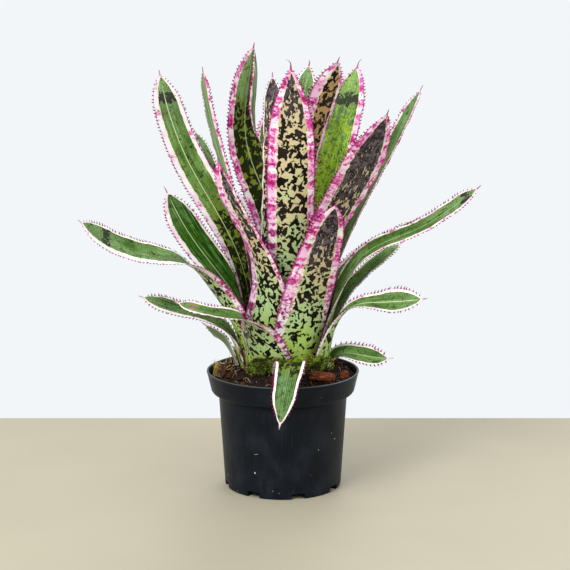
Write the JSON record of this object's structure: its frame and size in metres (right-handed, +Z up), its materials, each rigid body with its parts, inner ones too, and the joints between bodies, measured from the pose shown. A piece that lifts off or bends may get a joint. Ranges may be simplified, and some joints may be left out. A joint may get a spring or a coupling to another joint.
{
  "type": "potted tank bromeliad",
  "caption": "Tank bromeliad with spiny, pink-edged, dark-mottled strap leaves in an open rosette, standing in a black plastic nursery pot of bark mix.",
  "frame": {"origin": "centre of the pot's underside, on the surface that the pot stands on", "axes": "+Z straight up along the pot's axis; -Y towards the plant's front, the side in the picture; +X to the viewer's right"},
  "size_m": [0.3226, 0.2256, 0.376],
  "materials": {
    "pot": "satin",
    "potting_mix": "matte",
    "stem_base": "matte",
    "bark": "matte",
    "peat": "matte",
    "husk": "matte",
    "moss": "matte",
    "leaf_outer": "satin",
    "leaf_inner": "satin"
  },
  "bodies": {
    "root": {"pot": "pot", "potting_mix": "potting_mix", "stem_base": "stem_base", "bark_chip_right": "bark", "bark_chip_far_right": "bark", "bark_chip_front": "bark", "peat_lump_left": "peat", "dry_husk_left": "husk", "moss_front_left": "moss", "moss_front_right": "moss", "leaf_front_drooping": "leaf_outer", "leaf_front_right": "leaf_inner", "leaf_front_left": "leaf_inner", "leaf_front_centre": "leaf_inner", "leaf_front_folded": "leaf_outer", "leaf_heart_right": "leaf_inner", "leaf_right_broad": "leaf_inner", "leaf_right_low": "leaf_outer", "leaf_right_long": "leaf_outer", "leaf_right_lowest": "leaf_outer", "leaf_right_middle": "leaf_outer", "leaf_right_slender": "leaf_inner", "leaf_right_behind": "leaf_outer", "leaf_right_tall": "leaf_inner", "leaf_left_tall": "leaf_inner", "leaf_left_hidden": "leaf_inner", "leaf_left_edgewise": "leaf_inner", "leaf_left_upper": "leaf_outer", "leaf_left_middle": "leaf_outer", "leaf_left_lowest": "leaf_outer", "leaf_left_low": "leaf_outer", "leaf_left_long": "leaf_outer", "leaf_heart_left": "leaf_inner", "leaf_heart_back": "leaf_inner", "leaf_heart_young_left": "leaf_inner", "leaf_heart_young_right": "leaf_inner", "leaf_back_inner_right": "leaf_inner", "leaf_back_outer_right": "leaf_outer", "leaf_back_middle": "leaf_inner", "leaf_back_inner_left": "leaf_inner", "leaf_back_outer_left": "leaf_outer"}
  },
  "joints": []
}
